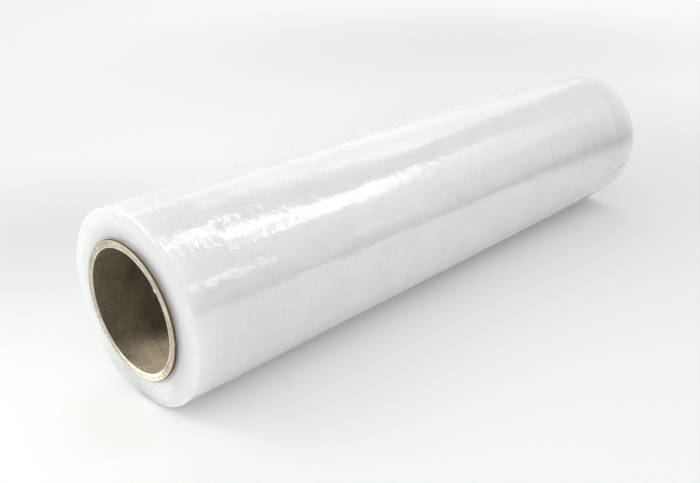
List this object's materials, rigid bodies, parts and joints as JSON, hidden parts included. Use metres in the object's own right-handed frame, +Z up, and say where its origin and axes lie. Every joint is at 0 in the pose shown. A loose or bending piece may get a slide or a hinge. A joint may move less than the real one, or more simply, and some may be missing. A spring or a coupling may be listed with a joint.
{
  "type": "stretch wrap roll",
  "caption": "Roll of clear stretch wrap film wound on a paperboard core, lying on its side with the core's ends just proud of the film.",
  "frame": {"origin": "under the middle of the roll, on the surface that it lies on", "axes": "+X along the roll's axis, away from the end that the picture shows; +Z up"},
  "size_m": [0.504, 0.122, 0.1219],
  "materials": {
    "paperboard": "spiral-wound kraft paperboard, matte, paler cut ends",
    "film": "clear stretch film, milky where many turns lie together, glossy on the outside"
  },
  "bodies": {
    "root": {"core": "paperboard", "film_roll": "film"}
  },
  "joints": []
}
